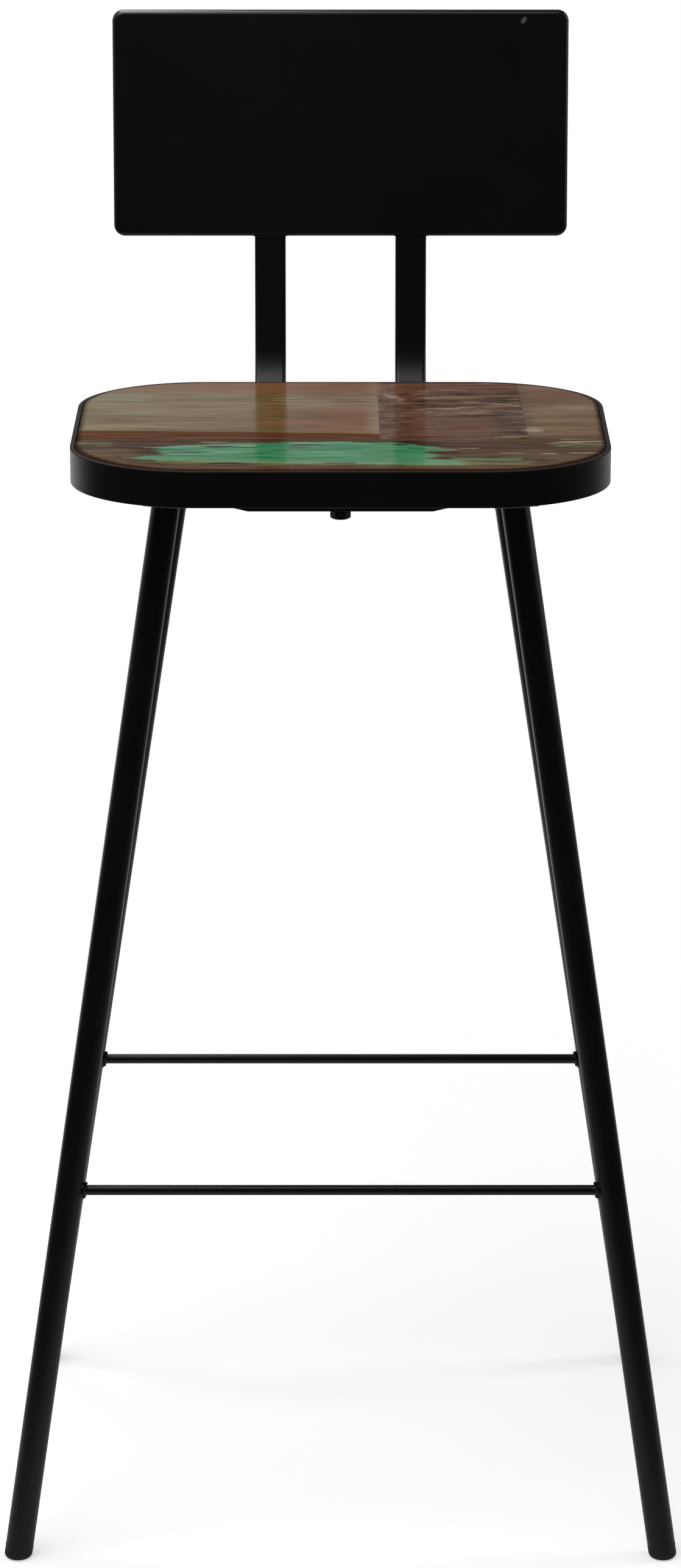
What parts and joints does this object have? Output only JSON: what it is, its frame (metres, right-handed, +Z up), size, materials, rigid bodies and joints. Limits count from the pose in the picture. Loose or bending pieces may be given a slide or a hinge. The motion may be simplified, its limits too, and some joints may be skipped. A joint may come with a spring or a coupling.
{
  "type": "bar stool with footrest",
  "caption": "Bar stool with splayed tube legs, a ring of footrest rods, a board seat in a steel hoop and a folded sheet backrest.",
  "frame": {"origin": "on the floor, under the middle of the outline seen from above", "axes": "+Z up, +Y from the front of the stool to its backrest, +X to the right seen from the front"},
  "size_m": [0.4664, 0.4247, 1.0125],
  "materials": {
    "powder_coat_black": "satin",
    "bolt_steel_black": "satin",
    "zinc_steel": "satin",
    "plastic_black": "matte",
    "wood_green_painted": "satin",
    "wood_grey_brown": "satin",
    "wood_dark_rough": "satin",
    "wood_light_brown": "satin"
  },
  "bodies": {
    "root": {"seat_band": "powder_coat_black", "rail_left": "powder_coat_black", "rail_right": "powder_coat_black", "cross_rail_front": "powder_coat_black", "cross_rail_rear": "powder_coat_black", "leg_front_left": "powder_coat_black", "leg_front_right": "powder_coat_black", "leg_rear_left": "powder_coat_black", "leg_rear_right": "powder_coat_black", "footrest_bar_front": "powder_coat_black", "footrest_bar_rear": "powder_coat_black", "footrest_bar_left": "powder_coat_black", "footrest_bar_right": "powder_coat_black", "backrest_post_left": "powder_coat_black", "backrest_post_right": "powder_coat_black", "backrest_panel": "powder_coat_black", "clamp_plate": "powder_coat_black", "clamp_bolts": "bolt_steel_black", "flat_washers": "bolt_steel_black", "spring_washers": "bolt_steel_black", "board_screws": "zinc_steel", "threaded_inserts": "zinc_steel", "foot_cap_front_left": "plastic_black", "foot_cap_front_right": "plastic_black", "foot_cap_rear_left": "plastic_black", "foot_cap_rear_right": "plastic_black", "post_plugs_front": "plastic_black", "post_plugs_top": "plastic_black", "seat_board_front": "wood_green_painted", "seat_board_rear_left": "wood_grey_brown", "seat_board_rear_middle": "wood_dark_rough", "seat_board_rear_right": "wood_light_brown"}
  },
  "joints": []
}
